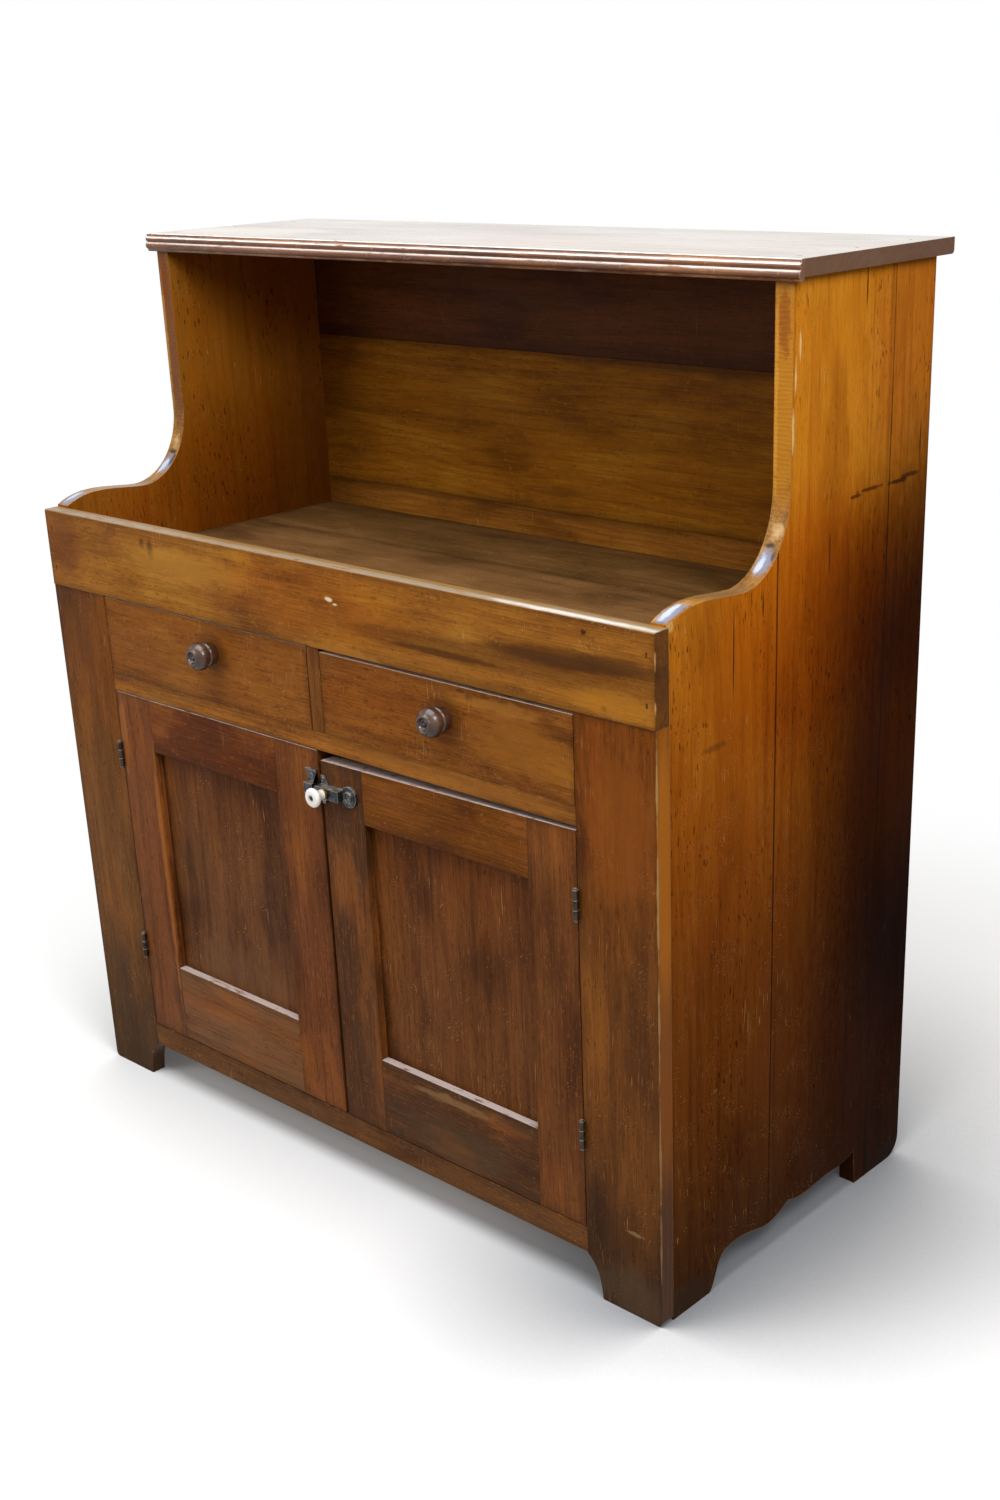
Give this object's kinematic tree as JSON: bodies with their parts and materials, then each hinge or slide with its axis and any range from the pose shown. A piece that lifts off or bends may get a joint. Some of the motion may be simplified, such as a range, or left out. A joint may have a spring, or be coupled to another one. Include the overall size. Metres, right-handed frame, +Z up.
{
  "type": "dry sink cabinet",
  "caption": "Wooden dry sink: moulded hutch top, open sink behind a splash board, turned-knob drawers, panelled doors and a cast cupboard latch.",
  "frame": {"origin": "centre of the cabinet's footprint box on the floor", "axes": "+Z up, +X to the right and -Y out of the front, as seen from in front"},
  "size_m": [1.136, 0.5808, 1.23],
  "materials": {
    "amber_side_board": "old shellac over open-grained wood, worn satin",
    "golden_splash_board": "old shellac, rubbed along the top edge",
    "brown_frame_wood": "old shellac, worn satin",
    "brown_drawer_wood": "old shellac, worn satin",
    "red_brown_door_wood": "old shellac, worn satin",
    "dark_panel_wood": "old shellac, scratched",
    "worn_top_board": "rubbed, pale with wear",
    "reeded_moulding": "old shellac, worn on the beads",
    "dark_back_board": "dark old finish",
    "olive_back_board": "old finish",
    "unfinished_pine": "bare, aged",
    "sink_floor_wood": "scrubbed, stained",
    "turned_knob_wood": "handled, satin",
    "cast_iron": "dark, rubbed",
    "iron_screw": "dull",
    "brass": "tarnished",
    "white_porcelain": "glazed"
  },
  "bodies": {
    "case": {"top_board": "worn_top_board", "top_moulding": "reeded_moulding", "right_side": "amber_side_board", "left_side": "amber_side_board", "splash_board": "golden_splash_board", "right_stile": "brown_frame_wood", "left_stile": "brown_frame_wood", "middle_rail": "brown_frame_wood", "bottom_rail": "brown_frame_wood", "drawer_divider": "brown_frame_wood", "upper_back_board": "dark_back_board", "hutch_back_board": "olive_back_board", "lower_back_boards": "unfinished_pine", "sink_floor_front_board": "sink_floor_wood", "sink_floor_middle_board": "sink_floor_wood", "sink_floor_rear_board": "sink_floor_wood", "sink_front_cleat": "unfinished_pine", "side_cleats": "unfinished_pine", "outer_drawer_runners": "unfinished_pine", "centre_drawer_runner": "unfinished_pine", "drawer_rear_rail": "unfinished_pine", "drawer_kickers": "unfinished_pine", "cupboard_floor_boards": "unfinished_pine", "shelf_board": "unfinished_pine", "case_nails": "iron_screw", "frame_hinge_leaves": "cast_iron", "frame_hinge_screws": "iron_screw"},
    "left_drawer": {"left_drawer_front": "brown_drawer_wood", "left_drawer_sides": "unfinished_pine", "left_drawer_back": "unfinished_pine", "left_drawer_bottom": "unfinished_pine", "left_drawer_knob": "turned_knob_wood"},
    "right_drawer": {"right_drawer_front": "brown_drawer_wood", "right_drawer_sides": "unfinished_pine", "right_drawer_back": "unfinished_pine", "right_drawer_bottom": "unfinished_pine", "right_drawer_knob": "turned_knob_wood"},
    "left_door": {"left_door_hinge_stile": "red_brown_door_wood", "left_door_lock_stile": "red_brown_door_wood", "left_door_top_rail": "red_brown_door_wood", "left_door_bottom_rail": "red_brown_door_wood", "left_door_panel": "dark_panel_wood", "left_door_hinge_leaves": "cast_iron", "left_door_hinge_screws": "iron_screw", "latch_keeper": "cast_iron", "latch_keeper_screws": "iron_screw"},
    "right_door": {"right_door_hinge_stile": "red_brown_door_wood", "right_door_lock_stile": "red_brown_door_wood", "right_door_top_rail": "red_brown_door_wood", "right_door_bottom_rail": "red_brown_door_wood", "right_door_panel": "dark_panel_wood", "right_door_hinge_leaves": "cast_iron", "right_door_hinge_screws": "iron_screw", "latch_case": "cast_iron", "latch_case_screws": "iron_screw"},
    "latch": {"latch_bolt": "cast_iron", "latch_ferrule": "brass", "latch_knob": "white_porcelain", "latch_knob_pin": "iron_screw"}
  },
  "joints": [
    {"name": "left_drawer_slide", "type": "slide", "parent": "case", "child": "left_drawer", "axis": [0, -1, 0], "range_m": [0, 0.3]},
    {"name": "right_drawer_slide", "type": "slide", "parent": "case", "child": "right_drawer", "axis": [0, -1, 0], "range_m": [0, 0.3]},
    {"name": "left_door_hinge", "type": "hinge", "parent": "case", "child": "left_door", "pos_m": [-0.43625, -0.2583, 0.381], "axis": [0, 0, -1], "range_deg": [0, 165]},
    {"name": "right_door_hinge", "type": "hinge", "parent": "case", "child": "right_door", "pos_m": [0.43625, -0.2583, 0.381], "axis": [0, 0, 1], "range_deg": [0, 165]},
    {"name": "latch_slide", "type": "slide", "parent": "right_door", "child": "latch", "axis": [-1, 0, 0], "range_m": [0, 0.012]}
  ]
}
